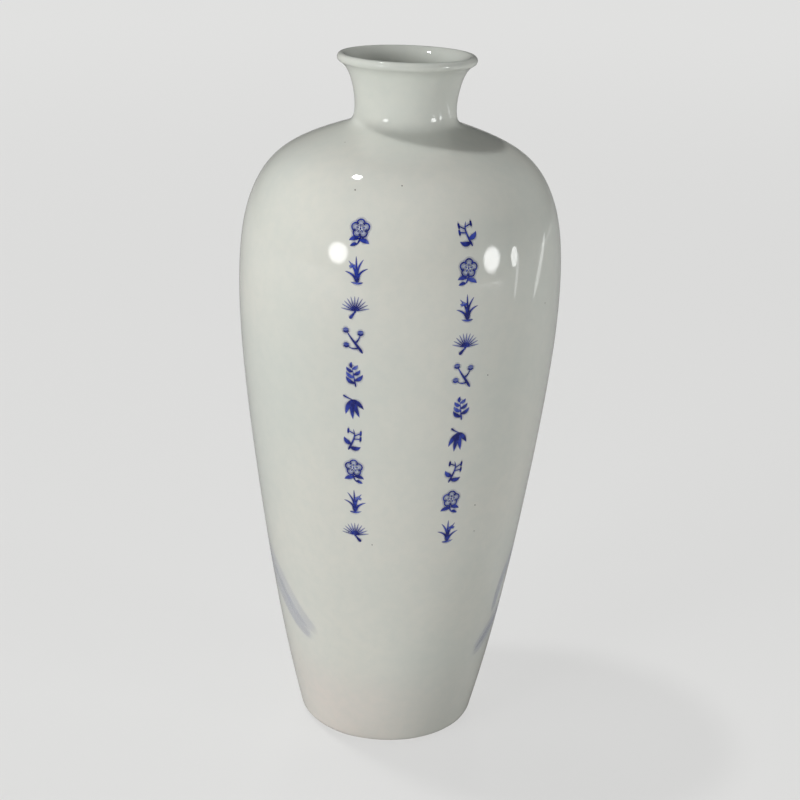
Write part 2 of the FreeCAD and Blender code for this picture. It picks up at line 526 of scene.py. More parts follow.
class Touch(Enum):
    """How the brush meets the glaze and leaves it."""

    ROUND = "round"
    LEAF = "leaf"
    TAIL = "tail"
    WASH = "wash"

    def breadth(self, share: Array) -> Array:
        """The stroke's breadth at shares of its length, as a share of its width.

        Args:
            share: Shares of the stroke's length.

        Returns:
            The breadths.
        """
        leaf_lean, leaf_fullness = 0.8, 0.9
        tail_start, tail_taper = 0.14, 0.55
        squareness = 3 if self is Touch.WASH else 6
        least = 0.04
        if self is Touch.LEAF:
            full = np.sin(np.pi * share**leaf_lean) ** leaf_fullness
        elif self is Touch.TAIL:
            full = np.sqrt(np.clip(share / tail_start, 0, 1)) * (1 - share) ** tail_taper
        else:
            full = np.sqrt(1 - np.abs(2 * share - 1) ** squareness)
        return np.clip(full, least, 1)

    def pooled(self, share: Array) -> Array:
        """How much more ink lies at shares of the stroke's length.

        Args:
            share: Shares of the stroke's length.

        Returns:
            What the tone gains there.
        """
        at_ends = 0.14
        draining = {Touch.TAIL: (0.12, 0.3), Touch.LEAF: (0.1, 0.22)}
        if self in draining:
            start, loss = draining[self]
            return start - loss * share
        return at_ends * np.abs(2 * share - 1) ** 3

    def film(self, share: Array, across: Array) -> Array:
        """How closely the ink covers, at shares of the length and from -1 to 1 across it.

        Args:
            share: Shares of the stroke's length.
            across: Places from one edge to the other.

        Returns:
            The cover, from 0 to 1.
        """
        edge, start, end = 0.3, 0.15, 0.06
        covered = eased((1 - np.abs(across)) / edge)
        if self is Touch.WASH:
            covered = covered * eased(share / start) * eased((1 - share) / end)
        return covered


@dataclass(frozen=True)
class Stroke:
    """One stroke of the brush, drawn flat in millimetres."""

    points: Line
    width: float
    tone: float = 0.85
    touch: Touch = Touch.ROUND
    cover: float = 1.0

    def moved(
        self, centre: Point, turn_deg: float = 0.0, size: float = 1.0, mirrored: bool = False
    ) -> "Stroke":
        """The same stroke, mirrored if asked, sized, turned and then put about another centre.

        Args:
            centre: The new centre.
            turn_deg: How far the stroke turns, leftwards.
            size: How many times its size it gets.
            mirrored: Whether left and right swap.

        Returns:
            The moved stroke.
        """
        side = -size if mirrored else size
        cosine = math.cos(math.radians(turn_deg))
        sine = math.sin(math.radians(turn_deg))
        points = tuple(
            shifted(centre, (x * side * cosine - y * size * sine, x * side * sine + y * size * cosine))
            for x, y in self.points
        )
        return replace(self, points=points, width=self.width * size)


def drawn(touch: Touch, *rows: tuple[Line, float, float]) -> list[Stroke]:
    """Strokes of one touch, each from its points, its width and its tone."""
    return [Stroke(points, width, tone, touch) for points, width, tone in rows]


def polar(radius: float, degrees: float) -> Point:
    """The point at a distance and an angle above the right."""
    return (radius * math.cos(math.radians(degrees)), radius * math.sin(math.radians(degrees)))


def shifted(point: Point, step: Point) -> Point:
    """A point moved by a step."""
    return (point[0] + step[0], point[1] + step[1])


def arc(centre: Point, radius: float, start_deg: float, end_deg: float) -> Line:
    """Five points of a round line."""
    turns = [start_deg + (end_deg - start_deg) * i / 4 for i in range(5)]
    return tuple(shifted(centre, polar(radius, turn)) for turn in turns)


@dataclass
class Brush:
    """Lays strokes on a coat of glaze as thin films, each a little above the last."""

    coat: Coat
    ink: Material
    step_mm: float = 0.35
    least_steps: int = 9
    columns: int = 7
    wash_columns: int = 11
    wobble: float = 0.06
    wobble_waves: float = 1.7
    wobble_shift: float = 0.37
    film: float = 0.08 * MM
    first_lift: float = 0.015 * MM
    next_lift: float = 0.0012 * MM
    crease_deg: float = 50.0

    def paint(self, name: str, strokes: list[Stroke], angle_deg: float, height: float) -> None:
        """Paints strokes as one piece.

        Args:
            name: The piece's name.
            strokes: The strokes, the lowest first.
            angle_deg: Where their middle lies round the axis, from the front towards +X.
            height: Its height above the floor.
        """
        centre = (math.radians(angle_deg), self.coat.along_at(height))
        laid = [self._lay(stroke, i, centre) for i, stroke in enumerate(strokes)]
        take_up(laid[0])
        for film in laid:
            film.select_set(True)
        if len(laid) > 1:
            bpy.ops.object.join()
        piece = laid[0]
        piece.name = piece.data.name = name
        body = piece.modifiers.new("film", "SOLIDIFY")
        body.thickness = self.film
        body.offset = -1
        bpy.ops.object.modifier_apply(modifier=body.name)
        finish_piece(piece, self.ink, self.crease_deg)

    def flat(self, angle_deg: float, height_mm: float, middle_deg: float, middle_height: float) -> Point:
        """Where a place on the coat lies, in flat millimetres from the middle of a piece.

        Args:
            angle_deg: The place's angle round the axis, from the front towards +X.
            height_mm: Its height above the floor, in millimetres.
            middle_deg: The angle of the piece's middle.
            middle_height: The height of the piece's middle, in metres.

        Returns:
            The place, across and up.
        """
        along = self.coat.along_at(height_mm * MM)
        radius = float(self.coat.radius_at(np.array([along]))[0])
        up = along - self.coat.along_at(middle_height)
        return (math.radians(angle_deg - middle_deg) * radius / MM, up / MM)

    def _lay(self, stroke: Stroke, order: int, centre: tuple[float, float]) -> Piece:
        """Bends a grid into one stroke's film.

        Args:
            stroke: The stroke.
            order: How many strokes lie under it.
            centre: The angle and the distance along the coat of the strokes' middle.

        Returns:
            The film, still without thickness.
        """
        line = SmoothLine(np.array(stroke.points))
        steps = max(self.least_steps, round(line.length / self.step_mm))
        columns = self.wash_columns if stroke.touch is Touch.WASH else self.columns
        bpy.ops.object.select_all(action="DESELECT")
        bpy.ops.mesh.primitive_grid_add(x_subdivisions=steps, y_subdivisions=columns - 1, size=MM)
        film = bpy.context.view_layer.objects.active
        shares = (1 - np.cos(np.linspace(0, np.pi, steps + 1))) / 2
        share, across = (part.ravel() for part in np.meshgrid(shares, np.linspace(-1, 1, columns)))
        wave = np.sin(math.tau * (self.wobble_waves * share + self.wobble_shift * order))
        wobble = 1 + self.wobble * wave * (1 - share)
        heading = line.heading(share * line.length)
        reach = (stroke.width / 2 * stroke.touch.breadth(share) * wobble * across)[:, None]
        flat = line.place(share * line.length) + np.column_stack([-heading[:, 1], heading[:, 0]]) * reach
        along = centre[1] + flat[:, 1] * MM
        angle = centre[0] + flat[:, 0] * MM / self.coat.radius_at(along)
        lift = np.full(len(along), self.first_lift + order * self.next_lift)
        places = self.coat.surface(along, angle, lift)
        film.data.vertices.foreach_set("co", places.astype(np.float32).ravel())
        tone = np.clip(stroke.tone + stroke.touch.pooled(share), 0, 1)
        cover = stroke.cover * stroke.touch.film(share, across)
        for mark, values in (("tone", tone), ("cover", cover)):
            layer = film.data.attributes.new(mark, "FLOAT", "POINT")
            layer.data.foreach_set("value", values.astype(np.float32))
        film.data.update()
        return film


def blossom_spray() -> list[Stroke]:
    """A blossom of five round petals over a short twig with leaves.

    Returns:
        The strokes, about the spray's middle.
    """
    twig = drawn(Touch.TAIL, (((0.3, -1.4), (0.0, -2.6), (-0.9, -3.9)), 0.6, 0.9))
    leaves = drawn(
        Touch.LEAF,
        (((0.1, -2.3), (1.4, -2.4), (3.0, -3.3)), 1.1, 0.75),
        (((-0.1, -2.0), (-1.6, -1.9), (-3.0, -2.6)), 1.0, 0.9),
        (((-0.6, -3.2), (-1.8, -3.7), (-2.6, -4.1)), 0.8, 0.8),
    )
    turns = [90 + 72 * i for i in range(5)]
    blossom = []
    for turn in turns:
        blossom.append(Stroke((polar(0.5, turn), polar(2.6, turn)), 1.6, 0.36, Touch.WASH, 0.35))
        blossom.append(Stroke(arc(polar(1.5, turn), 1.15, turn - 120, turn + 120), 0.34, 0.88))
    blossom += [Stroke((polar(0.45, turn), polar(1.3, turn)), 0.2, 0.85) for turn in turns]
    blossom.append(Stroke((polar(0.25, 180), polar(0.25, 0)), 0.5, 0.95))
    return [*twig, *leaves, *(stroke.moved((0.1, 0.9)) for stroke in blossom)]


def falling_leaves() -> list[Stroke]:
    """Long pointed leaves hanging from a twig.

    Returns:
        The strokes, about the spray's middle.
    """
    strokes = drawn(Touch.TAIL, (((2.9, 3.9), (1.4, 3.0), (-0.3, 2.4)), 0.5, 0.9))
    for i, (x, y) in enumerate(((-3.0, -0.6), (-1.5, -3.2), (0.5, -3.8), (2.6, -2.2))):
        bend = (x * 0.45 + 0.25, (y + 2.6) * 0.5 + 0.6)
        strokes.append(Stroke(((0.2, 2.5), bend, (x, y)), 1.15, 0.95 - 0.1 * (i % 2), Touch.LEAF))
    return strokes


def bud_twig() -> list[Stroke]:
    """A slanting twig with three buds.

    Returns:
        The strokes, about the spray's middle.
    """
    strokes = drawn(
        Touch.TAIL,
        (((-2.3, -3.8), (-0.9, -1.6), (0.5, 0.4), (2.1, 3.1)), 0.75, 0.92),
        (((-0.2, -0.7), (-1.5, 0.6), (-2.0, 1.9)), 0.5, 0.88),
        (((-1.2, -2.1), (0.6, -2.3), (2.0, -1.6)), 0.45, 0.88),
    )
    for x, y in ((2.2, 3.2), (-2.1, 2.3), (2.4, -1.2)):
        strokes.append(Stroke(((x, y - 0.7), (x, y + 0.7)), 1.35, 0.5, cover=0.8))
        strokes.append(Stroke(arc((x, y), 0.62, -170, -10), 0.42, 0.95))
        strokes.append(Stroke(arc((x, y), 0.6, 40, 140), 0.26, 0.85))
    return strokes


def grass_tuft() -> list[Stroke]:
    """Long blades arching from one root, with a small flower.

    Returns:
        The strokes, about the spray's middle.
    """
    root = (-0.2, -3.7)
    flower = (1.2, 0.6)
    strokes = drawn(Touch.LEAF, (((-1.9, -3.6), (0.0, -3.9), (1.8, -3.5)), 0.5, 0.7))
    for x, y in ((-3.3, 0.3), (-2.0, 2.9), (0.2, 3.8), (2.4, 2.4), (3.4, -0.6)):
        bend = (x * 0.28, root[1] + (y - root[1]) * 0.62)
        strokes.append(Stroke((root, bend, (x, y)), 0.72, 0.9, Touch.TAIL))
    for i in range(3):
        strokes.append(Stroke((flower, shifted(flower, polar(1.2, 20 + 65 * i))), 0.6, 0.6, Touch.LEAF))
    return strokes


def berry_stem() -> list[Stroke]:
    """A bent stem with berries and two leaves.

    Returns:
        The strokes, about the spray's middle.
    """
    strokes = drawn(Touch.TAIL, (((-1.4, -3.8), (-0.4, -1.2), (0.1, 1.2), (-0.5, 3.4)), 0.6, 0.9))
    strokes += drawn(
        Touch.LEAF,
        (((-0.5, -1.5), (-2.1, -1.0), (-3.0, 0.3)), 1.15, 0.8),
        (((-0.9, -2.6), (0.9, -2.9), (2.3, -2.0)), 1.15, 0.9),
    )
    for start, x, y in (((0.1, 0.2), 2.0, 0.5), ((0.1, 1.2), 1.9, 2.4), ((0.0, 1.9), -1.9, 2.6)):
        strokes.append(Stroke((start, (x, y)), 0.3, 0.85))
        strokes.append(Stroke(((x - 0.35, y), (x + 0.35, y)), 1.25, 0.95))
    return strokes


def leaf_sprig() -> list[Stroke]:
    """A stem with leaves to both sides.

    Returns:
        The strokes, about the spray's middle.
    """
    strokes = drawn(Touch.TAIL, (((0.5, -3.9), (0.1, -1.0), (-0.4, 2.2)), 0.45, 0.9))
    for i in range(6):
        share = i / 5
        side = 1 if i % 2 else -1
        reach = 2.7 - 1.0 * share
        base = (0.35 - 0.7 * share, -2.6 + 4.4 * share)
        bend = shifted(base, (side * reach * 0.6, reach * 0.2))
        tip = shifted(base, (side * reach, reach * 0.75))
        strokes.append(Stroke((base, bend, tip), 1.0 - 0.15 * share, 0.92 - 0.12 * (i % 3), Touch.LEAF))
    return strokes + drawn(Touch.LEAF, (((-0.4, 2.0), (-0.7, 3.0), (-0.4, 3.9)), 0.8, 0.85))


def needle_fan() -> list[Stroke]:
    """A half fan of fine needles on a short twig.

    Returns:
        The strokes, about the spray's middle.
    """
    hub = (0.0, -1.5)
    strokes = drawn(Touch.TAIL, (((-1.7, -3.8), (-0.7, -2.6), (0.2, -1.4)), 0.85, 0.95))
    for turn in range(10, 171, 16):
        needle = (shifted(hub, polar(0.3, turn)), shifted(hub, polar(4.3, turn)))
        strokes.append(Stroke(needle, 0.3, 0.9, Touch.TAIL))
    strokes.append(Stroke(((-0.4, -1.5), (0.4, -1.5)), 0.7, 1.0))
    return strokes


class Spray(Enum):
    """The small sprays that the columns on the front are made of, each about 7 mm high."""

    BLOSSOM = "blossom"
    FALLING = "falling"
    BUDS = "buds"
    GRASS = "grass"
    BERRIES = "berries"
    SPRIG = "sprig"
    NEEDLES = "needles"

    def strokes(self) -> list[Stroke]:
        """The spray's strokes about its middle."""
        drawings = (blossom_spray, falling_leaves, bud_twig, grass_tuft, berry_stem, leaf_sprig, needle_fan)
        return dict(zip(Spray, drawings))[self]()


@dataclass
class FrontColumns:
    """Two upright columns of small sprays on the front."""

    left_deg: float = -14.4
    right_deg: float = 23.0
    top: float = 200.5 * MM
    bottom: float = 94.5 * MM
    count: int = 10
    spray_step: int = 3
    column_step: int = 4
    size: float = 1.14
    bolder: float = 1.5
    bleed: float = 1.3
    bleed_tone: float = 0.34
    bleed_cover: float = 0.24
    sway_deg: float = 6.0
    seed: int = 5

    def build(self, brush: Brush) -> None:
        """Paints both columns, each spray a piece of its own.

        Args:
            brush: The brush and its ink.
        """
        chance = random.Random(self.seed)
        kinds = list(Spray)
        for column, (side, angle_deg) in enumerate((("left", self.left_deg), ("right", self.right_deg))):
            for i in range(self.count):
                kind = kinds[(i * self.spray_step + column * self.column_step) % len(kinds)]
                turn = chance.uniform(-self.sway_deg, self.sway_deg)
                mirrored = (i + column) % 2 == 1
                strokes = [stroke.moved((0, 0), turn, self.size, mirrored) for stroke in kind.strokes()]
                strokes = [replace(stroke, width=stroke.width * self.bolder) for stroke in strokes]
                edges = [self._bled(stroke) for stroke in strokes if stroke.touch is not Touch.WASH]
                height = self.top + (self.bottom - self.top) * i / (self.count - 1)
                brush.paint(f"{side}_{kind.value}_{i + 1:02d}", edges + strokes, angle_deg, height)

    def _bled(self, stroke: Stroke) -> Stroke:
        """The pale edge of ink that ran out under the glaze round a stroke."""
        return replace(stroke, width=stroke.width + self.bleed, tone=self.bleed_tone, cover=self.bleed_cover)


@dataclass(frozen=True)
class SideWash:
    """Pale washes low on one side, where the painting on the back begins.

    A band has its width in millimetres, its cover, and its places in degrees and millimetres of height.
    """

    name: str
    middle_deg: float
    bands: tuple[tuple[float, float, Line], ...]
    height: float = 50 * MM
    tone: float = 0.5

    def build(self, brush: Brush) -> None:
        """Paints the bands as one piece.

        Args:
            brush: The brush and its ink.
        """
        strokes = []
        for width, cover, places in self.bands:
            points = tuple(brush.flat(turn, height, self.middle_deg, self.height) for turn, height in places)
            strokes.append(Stroke(points, width, self.tone, Touch.WASH, cover))
        brush.paint(self.name, strokes, self.middle_deg, self.height)


HIGH_LEFT = (
    (-110, 56), (-100, 66), (-88, 73), (-75, 69.5), (-64, 63.5), (-55, 56.5), (-46, 50.5), (-36, 45.5)
)
MIDDLE_LEFT = ((-104, 54), (-92, 64), (-80, 65.5), (-69, 60), (-59, 53), (-50, 47), (-40, 42.5))
LOW_LEFT = ((-94, 57), (-79, 60), (-66, 55), (-56, 49.5), (-47, 45), (-42, 43))
HIGH_RIGHT = ((112, 50), (102, 60), (90, 69), (78, 71), (69, 66), (65, 58), (63.5, 48.5))
MIDDLE_RIGHT = ((112, 52), (96, 56), (80, 51), (69, 46), (61, 42), (51, 36))
LOW_RIGHT = ((110, 47), (94, 51), (79, 47), (68, 42), (60, 38), (52, 33.5))
LEFT_BANDS = ((9.0, 0.12, HIGH_LEFT), (9.0, 0.12, MIDDLE_LEFT), (5.5, 0.06, LOW_LEFT))
RIGHT_BANDS = ((7.0, 0.22, HIGH_RIGHT), (7.5, 0.15, MIDDLE_RIGHT), (7.5, 0.15, LOW_RIGHT))
SIDE_WASHES = (SideWash("left_wash", -62.0, LEFT_BANDS), SideWash("right_wash", 62.0, RIGHT_BANDS))


@dataclass
class IronSpecks:
    """Small iron specks that came through the glaze, at degrees and millimetres of height."""

    height: float = 150 * MM
    breadth: float = 0.62
    cover: float = 0.75
    front: Line = ((-7.5, 89.5), (-0.4, 214.3), (-19.1, 212.3), (32.5, 152.4), (60.3, 172.2), (34.2, 102.9))
    around: Line = ((35.8, 92.1), (-118, 140), (152, 96), (-163, 61))

    def build(self, brush: Brush) -> None:
        """Dots the specks, all of them one piece.

        Args:
            brush: The brush, with iron instead of ink.
        """
        dots = []
        for i, (turn, height) in enumerate(self.front + self.around):
            x, y = brush.flat(turn, height, 0, self.height)
            reach = self.breadth * (0.28 + 0.05 * (i % 3))
            tone = 0.6 + 0.1 * (i % 4)
            line = ((x - reach, y), (x + reach, y + 0.05))
            dots.append(Stroke(line, self.breadth, tone, cover=self.cover))
        brush.paint("iron_specks", dots, 0, self.height)


@dataclass(frozen=True)
class Stalk:
    """One stalk of bamboo, in flat millimetres from the painting's foot."""

    name: str
    foot: Point
    tip: Point
    breadth: float
    joints: int
    tone: float
    bow_share: float = 0.6
    taper_share: float = 0.4
    gap_share: float = 0.006
    fading: float = 0.012
    cover: float = 0.62
    edges: Line = ((-0.4, 0.28), (0.42, 0.16))
    edge_share: float = 0.16
    edge_cover: float = 0.75
    ring_width: float = 0.7
    ring_tone: float = 0.95
    ring: Line = ((-0.66, 0.95), (0, 0.3), (0.66, 0.9))

    def at(self, share: float) -> Point:
        """The point a share of the way up, on the stalk's slight bow.

        Args:
            share: The share, from 0 at the foot to 1 at the tip.

        Returns:
            The point.
        """
        bow = math.sin(math.pi * share) * self.breadth * self.bow_share
        (x, y), (tip_x, tip_y) = self.foot, self.tip
        return (x + (tip_x - x) * share + bow, y + (tip_y - y) * share)

    def strokes(self) -> list[Stroke]:
        """The stalk painted length by length, with a darker edge to both sides and a ring at each joint.

        Returns:
            The strokes, from the foot up.
        """
        strokes = []
        for i in range(self.joints):
            breadth = self.breadth * (1 - self.taper_share * i / self.joints)
            low = i / self.joints + self.gap_share
            high = (i + 1) / self.joints - self.gap_share
            line = (self.at(low), self.at((low + high) / 2), self.at(high))
            strokes.append(Stroke(line, breadth, self.tone - self.fading * i, cover=self.cover))
            for side, darker in self.edges:
                edge = tuple(shifted(point, (side * breadth, 0)) for point in line)
                tone = min(1.0, self.tone + darker)
                strokes.append(Stroke(edge, breadth * self.edge_share, tone, Touch.TAIL, self.edge_cover))
            if i + 1 < self.joints:
                ring = tuple(shifted(line[-1], (breadth * across, rise)) for across, rise in self.ring)
                strokes.append(Stroke(ring, self.ring_width, self.ring_tone))
        return strokes


@dataclass(frozen=True)
class LeafCluster:
    """Leaves that hang from a twig of a stalk, by its middle and by its end."""

    stalk: int
    share: float
    side: int
    reach: float
    count: int
    length: float
    inner_size: float = 0.8
    twig_width: float = 0.62
    twig_tone: float = 0.85
    lean_deg: float = 32.0
    spread_deg: float = 30.0
    stray_deg: float = 7.0
    bends_deg: Point = (2, 9)
    lengths: Point = (0.75, 1.12)
    breadths: Point = (0.15, 0.19)
    tones: tuple[float, ...] = (0.98, 0.88, 0.7, 0.55)

    def strokes(self, stalks: tuple[Stalk, ...], seed: int) -> list[Stroke]:
        """The twig from its stalk, and its leaves.

        Args:
            stalks: The stalks of the painting.
            seed: Fixes how the leaves fall.

        Returns:
            The strokes, the twig first.
        """
        chance = random.Random(seed)
        base = stalks[self.stalk].at(self.share)
        end = shifted(base, (self.side * self.reach, self.reach * 0.5))
        middle = shifted(base, (self.side * self.reach * 0.45, self.reach * 0.36))
        strokes = drawn(Touch.TAIL, ((base, middle, end), self.twig_width, self.twig_tone))
        for hub, leaves, size in ((middle, self.count // 2, self.inner_size), (end, self.count, 1.0)):
            for i in range(leaves):
                stray = chance.uniform(-self.stray_deg, self.stray_deg)
                turn = -90 + self.side * self.lean_deg + (i - (leaves - 1) / 2) * self.spread_deg + stray
                reach = self.length * size * chance.uniform(*self.lengths)
                bend = shifted(hub, polar(reach * 0.5, turn + self.side * chance.uniform(*self.bends_deg)))
                tone = chance.choice(self.tones)
                line = (hub, bend, shifted(hub, polar(reach, turn)))
                strokes.append(Stroke(line, reach * chance.uniform(*self.breadths), tone, Touch.LEAF))
        return strokes


@dataclass
class BackBamboo:
    """Bamboo over low washes, painted on the back."""

    middle_deg: float = 180.0
    foot: float = 34 * MM
    seed: int = 11
    wash_tone: float = 0.45
    wash_cover: float = 0.2
    rock_cover: float = 0.26
    rocks: tuple[tuple[float, ...], ...] = ((-24, -2, 17, 6.5), (9, -4, 20, 7.5), (29, 1, 12, 4.5))
    tufts: Line = ((-34, 2), (-13, -2), (0, 2), (20, 0), (36, 5))
    blade_leans: tuple[float, ...] = (-5.2, -2.6, 0.5, 3.2, 5.4)
    stalks: tuple[Stalk, ...] = (
        Stalk("slender_stalk", (18, 5), (27, 122), 2.6, 8, 0.42),
        Stalk("tall_stalk", (-3, 3), (6, 160), 4.4, 9, 0.6),
        Stalk("leaning_stalk", (-16, 1), (-33, 104), 3.3, 7, 0.52),
    )
    clusters: tuple[LeafCluster, ...] = (
        LeafCluster(1, 1.0, -1, 9, 5, 15),
        LeafCluster(1, 0.97, 1, 11, 6, 16),
        LeafCluster(1, 0.778, -1, 15, 6, 16),
        LeafCluster(1, 0.667, 1, 8, 4, 13),
        LeafCluster(1, 0.444, -1, 9, 4, 12),
        LeafCluster(0, 1.0, 1, 10, 6, 14),
        LeafCluster(0, 0.875, 1, 14, 5, 14),
        LeafCluster(0, 0.625, 1, 12, 5, 13),
        LeafCluster(0, 0.375, 1, 8, 3, 10),
        LeafCluster(2, 1.0, -1, 9, 6, 14),
        LeafCluster(2, 0.714, -1, 11, 5, 13),
        LeafCluster(2, 0.429, -1, 7, 3, 10),
    )

    def build(self, brush: Brush) -> None:
        """Paints the washes, the stalks, the leaves, and the rocks and grass.

        Args:
            brush: The brush and its ink.
        """
        groups = [("ground_washes", self._washes())]
        groups += [(stalk.name, stalk.strokes()) for stalk in self.stalks]
        for i, cluster in enumerate(self.clusters):
            groups.append((f"leaf_cluster_{i + 1}", cluster.strokes(self.stalks, self.seed + i)))
        groups.append(("grass_and_rocks", self._rocks() + self._grass()))
        for name, strokes in groups:
            brush.paint(name, strokes, self.middle_deg, self.foot)

    def _washes(self) -> list[Stroke]:
        """Pale bands of mist and low ground, which meet the washes of the sides.

        Returns:
            The strokes.
        """
        bands = (
            (9.0, ((-34, 3), (-8, 8), (20, 4), (42, 9))),
            (11.0, ((-62, 12), (-40, 2), (-14, -3), (16, -4), (46, 3), (62, 12))),
            (6.0, ((30, 0), (46, 13), (58, 20), (70, 19))),
            (6.0, ((-30, 1), (-48, 14), (-60, 21), (-72, 20))),
        )
        tone, cover = self.wash_tone, self.wash_cover
        return [Stroke(points, width, tone, Touch.WASH, cover) for width, points in bands]

    def _rocks(self) -> list[Stroke]:
        """Low rocks, each a wash under three lines drawn in shares of its half width and its height.

        Returns:
            The strokes, rock by rock.
        """
        back_shares = ((-1, 0), (-0.7, 0.7), (-0.1, 1), (0.3, 0.75))
        face_shares = ((-0.05, 0.9), (0.45, 0.62))
        crack_shares = ((-0.3, 0.7), (-0.12, 0.35), (-0.2, 0.1))
        strokes = []
        for x, y, width, height in self.rocks:
            half = width / 2
            wash = ((x - half, y + 1), (x, y + 1.6), (x + half, y + 1))
            strokes.append(Stroke(wash, height, 0.5, Touch.WASH, self.rock_cover))
            back, face, crack = (
                tuple((x + half * across, y + height * up) for across, up in shares)
                for shares in (back_shares, face_shares, crack_shares)
            )
            foot = (x + half, y - 0.3)
            strokes += drawn(Touch.TAIL, (back, 0.85, 0.92), ((*face, foot), 0.7, 0.8), (crack, 0.5, 0.66))
        return strokes

    def _grass(self) -> list[Stroke]:
        """Tufts of grass, each with a blade for each lean.

        Returns:
            The strokes, tuft by tuft.
        """
        strokes = []
        for x, y in self.tufts:
            for i, lean in enumerate(self.blade_leans):
                tip = (x + lean, y + 7.2 - abs(lean) * 0.75 - 0.6 * (i % 2))
                blade = ((x, y), (x + lean * 0.25, y + 3.6), tip)
                strokes.append(Stroke(blade, 0.62, 0.9 - 0.12 * (i % 2), Touch.TAIL))
        return strokes


class Graph:
    """Adds nodes to a shader tree and links them."""

    def __init__(self, tree: Group) -> None:
        """Keeps the tree."""
        self.tree = tree

    def node(self, kind: str, **settings: object) -> Node:
        """Adds a node.

        Args:
            kind: Its type.
            settings: Its own settings, or its inputs' values.

        Returns:
            The node.
        """
        made = self.tree.nodes.new(kind)
        for name, value in settings.items():
            if hasattr(made, name):
                setattr(made, name, value)
            else:
                made.inputs[name].default_value = value
        return made

    def link(self, source: Socket, target: Socket) -> None:
        """Joins an output to an input."""
        self.tree.links.new(source, target)

    def feed(self, target: Socket, value: object) -> None:
        """Gives an input its value, or links it where the value is an output.

        Args:
            target: The input.
            value: The value or the output.
        """
        if isinstance(value, bpy.types.NodeSocket):
            self.link(value, target)
        else:
            target.default_value = value

    def texture(self, kind: str, scale: Socket, **settings: object) -> Node:
        """Adds a texture on the piece's own coordinates.

        Args:
            kind: The texture.
            scale: How often it repeats in a metre.
            settings: Its own settings, or its inputs' values.

        Returns:
            The texture's node.
        """
        made = self.node(kind, **settings)
        self.link(self.node("ShaderNodeTexCoord").outputs["Object"], made.inputs["Vector"])
        self.link(scale, made.inputs["Scale"])
        return made

    def sum(self, operation: str, *numbers: object) -> Socket:
        """A number worked out from others by a Math node, each a socket or a value.

        Args:
            operation: The node's operation.
            numbers: The numbers.

        Returns:
            The result's socket.
        """
        made = self.node("ShaderNodeMath", operation=operation)
        for socket, number in zip(made.inputs, numbers):
            self.feed(socket, number)
        return made.outputs[0]

    def blend(self, share: object, first: object, second: object) -> Socket:
        """One colour mixed into another by a share, each a socket or a value.

        Args:
            share: How much of the second shows.
            first: The first colour.
            second: The second.

        Returns:
            The mixed colour's socket.
        """
        made = self.node("ShaderNodeMix", data_type="RGBA")
        for i, value in ((0, share), (6, first), (7, second)):
            self.feed(made.inputs[i], value)
        return made.outputs[2]

    def span(self, value: Socket, reach: Point, result: Point = (0.0, 1.0)) -> Socket:
        """Runs smoothly from one end of the result to the other as a value crosses its reach.

        Args:
            value: The value's socket.
            reach: Where the value starts and ends its run.
            result: What comes out at the start and at the end.

        Returns:
            The result's socket.
        """
        made = self.node("ShaderNodeMapRange", interpolation_type="SMOOTHSTEP")
        self.link(value, made.inputs["Value"])
        for name, setting in zip(("From Min", "From Max", "To Min", "To Max"), (*reach, *result)):
            made.inputs[name].default_value = setting
        return made.outputs[0]

    def place(self, group: Group, **settings: float) -> Node:
        """Places a group with its own values.

        Args:
            group: The group.
            settings: Its inputs' values, with underlines for spaces.

        Returns:
            The placed group's node.
        """
        placed = self.node("ShaderNodeGroup", node_tree=group)
        for name, value in settings.items():
            placed.inputs[name.replace("_", " ")].default_value = value
        return placed


def new_group(name: str, inputs: dict[str, float], outputs: tuple[str, ...]) -> tuple[Graph, Node, Node]:
    """Starts a shader node group that takes and gives numbers.

    Args:
        name: The group's name.
        inputs: Each input's name, with its default.
        outputs: The outputs' names.

    Returns:
        The group's graph, its input node and its output node.
    """
    number = "NodeSocketFloat"
    group = bpy.data.node_groups.new(name, "ShaderNodeTree")
    for socket_name, default in inputs.items():
        group.interface.new_socket(socket_name, in_out="INPUT", socket_type=number).default_value = default
    for socket_name in outputs:
        group.interface.new_socket(socket_name, in_out="OUTPUT", socket_type=number)
    graph = Graph(group)
    return graph, graph.node("NodeGroupInput"), graph.node("NodeGroupOutput")


